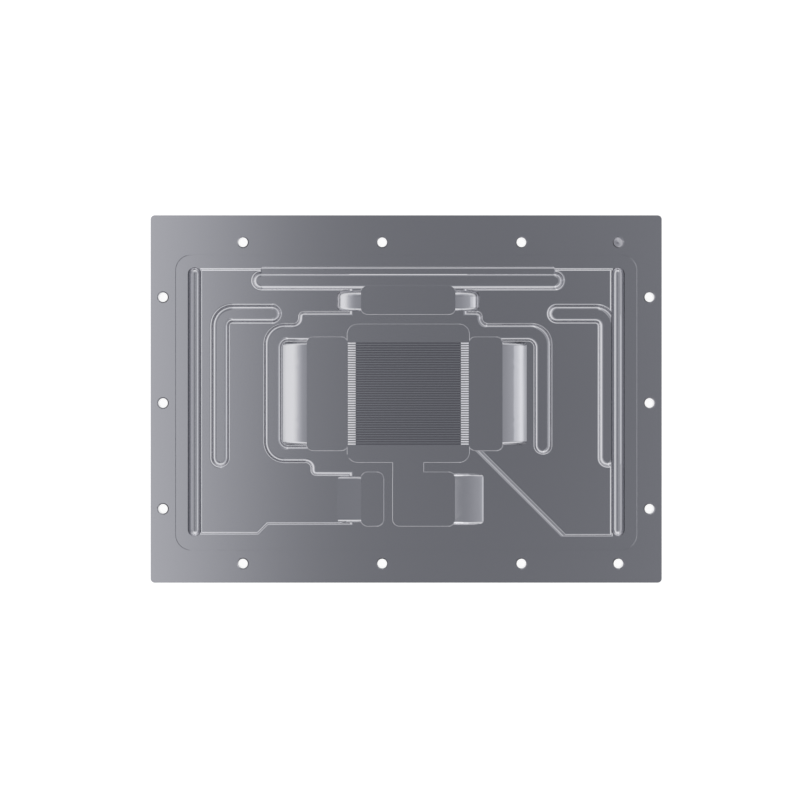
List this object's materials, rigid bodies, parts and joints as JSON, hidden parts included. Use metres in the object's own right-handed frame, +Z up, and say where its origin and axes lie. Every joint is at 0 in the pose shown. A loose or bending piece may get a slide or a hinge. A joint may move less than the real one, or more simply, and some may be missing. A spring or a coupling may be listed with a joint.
{
  "type": "graphics card water block cold plate",
  "caption": "Flat rectangular metal plate with a raised plateau, a fin field, scooped pockets, a seal groove and screw holes around its edge.",
  "frame": {"origin": "middle of the flat underside that presses on the chip", "axes": "+X along the plate's length, +Y across it towards its upper slot, +Z up out of the coolant side"},
  "size_m": [0.153, 0.11, 0.007],
  "materials": {
    "cold_plate": "satin nickel plating over copper"
  },
  "bodies": {
    "root": {"cold_plate": "cold_plate"}
  },
  "joints": []
}
